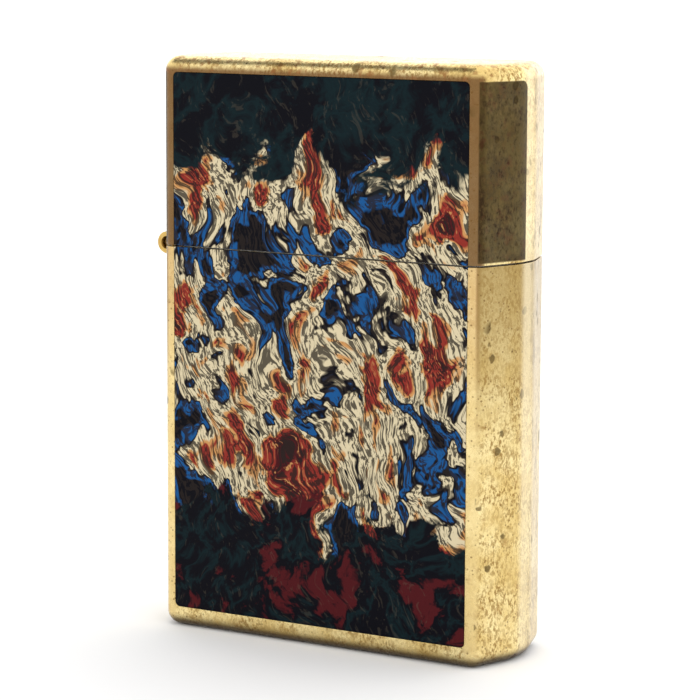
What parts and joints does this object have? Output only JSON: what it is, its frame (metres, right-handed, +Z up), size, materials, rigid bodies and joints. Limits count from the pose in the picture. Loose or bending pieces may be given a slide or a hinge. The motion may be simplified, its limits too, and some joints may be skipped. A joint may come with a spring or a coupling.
{
  "type": "lighter",
  "caption": "Flip-top windproof pocket lighter with a hinged lid, a perforated chimney, a spark wheel, a cam and a spring-fed flint in a removable insert.",
  "frame": {"origin": "middle of the flat underside of the case", "axes": "+Z up through the lid, -Y out of the printed front, +X towards the side away from the hinge"},
  "size_m": [0.0394, 0.0132, 0.057],
  "materials": {
    "aged_brass": "aged, mottled, worn along the edges",
    "front_print": "abstract multicolour print under satin lacquer",
    "hinge_brass": "satin",
    "pin_steel": "satin",
    "insert_steel": "bright with fine handling scratches",
    "wheel_steel": "dark, oiled, bright tooth tips",
    "cam_steel": "satin",
    "spring_steel": "satin",
    "tube_brass": "plain",
    "flint": "matt",
    "wick": "braided, charred tip",
    "cotton": "fluffy",
    "felt": "pressed"
  },
  "bodies": {
    "case": {"body_shell": "aged_brass", "body_plate": "front_print", "body_hinge_leaf": "hinge_brass", "hinge_pin": "pin_steel", "insert_can": "insert_steel", "insert_deck": "insert_steel", "chimney": "insert_steel", "wheel_rivet": "pin_steel", "cam_rivet": "pin_steel", "cam_spring": "spring_steel", "spring_rivet": "pin_steel", "flint_tube": "tube_brass", "flint_spring": "spring_steel", "flint_screw": "tube_brass", "wick": "wick", "cotton_pads": "cotton", "felt_pad": "felt"},
    "lid": {"lid_shell": "aged_brass", "lid_plate": "front_print", "lid_hinge_leaf": "hinge_brass"},
    "cam": {"cam": "cam_steel"},
    "wheel": {"flint_wheel": "wheel_steel"},
    "flint": {"flint": "flint", "spring_tip": "tube_brass"}
  },
  "joints": [
    {"name": "lid_hinge", "type": "hinge", "parent": "case", "child": "lid", "pos_m": [-0.0189, 0, 0.03835], "axis": [0, -1, 0], "range_deg": [0, 125]},
    {"name": "cam_rock", "type": "hinge", "parent": "case", "child": "cam", "pos_m": [-0.0126, 0, 0.0424], "axis": [0, 1, 0], "range_deg": [0, 13]},
    {"name": "wheel_spin", "type": "hinge", "parent": "case", "child": "wheel", "pos_m": [0.0104, 0, 0.04668], "axis": [0, 1, 0], "continuous": true},
    {"name": "flint_feed", "type": "slide", "parent": "case", "child": "flint", "axis": [0, 0, 1], "range_m": [-0.0015, 0], "stiffness_N_per_m": 60, "springref_m": 0.01, "deforming": ["flint_spring"]}
  ],
  "couplings": [
    {"joint": "cam_rock", "follows": "lid_hinge", "ratio": 0.1}
  ]
}
